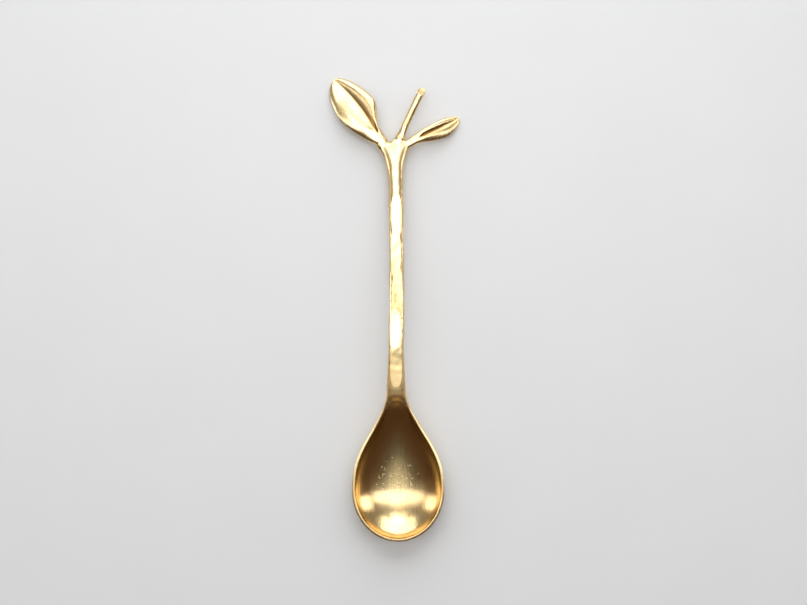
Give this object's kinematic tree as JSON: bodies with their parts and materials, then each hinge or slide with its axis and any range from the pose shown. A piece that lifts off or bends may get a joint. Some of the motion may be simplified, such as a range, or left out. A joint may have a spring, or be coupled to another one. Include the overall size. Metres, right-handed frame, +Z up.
{
  "type": "teaspoon",
  "caption": "Gold-toned brass teaspoon with an oval bowl, a hammered stem, and folded leaves and a bare twig brazed on at the end of the handle.",
  "frame": {"origin": "middle of the small flat under the bowl, on which the spoon rests", "axes": "+Y from the bowl along the stem to the leaves, +Z up out of the hollow of the bowl, +X to the side of the small leaf"},
  "size_m": [0.0354, 0.1252, 0.0116],
  "materials": {
    "bowl_brass": "polished, with fine lengthwise brushing",
    "stem_brass": "hammered and polished",
    "leaf_brass": "polished, softly worn",
    "twig_brass": "polished, slightly uneven",
    "braze": "filed satin"
  },
  "bodies": {
    "root": {"bowl": "bowl_brass", "stem": "stem_brass", "large_leaf": "leaf_brass", "small_leaf": "leaf_brass", "twig": "twig_brass", "bowl_braze": "braze", "large_leaf_braze": "braze", "small_leaf_braze": "braze", "twig_braze": "braze"}
  },
  "joints": []
}
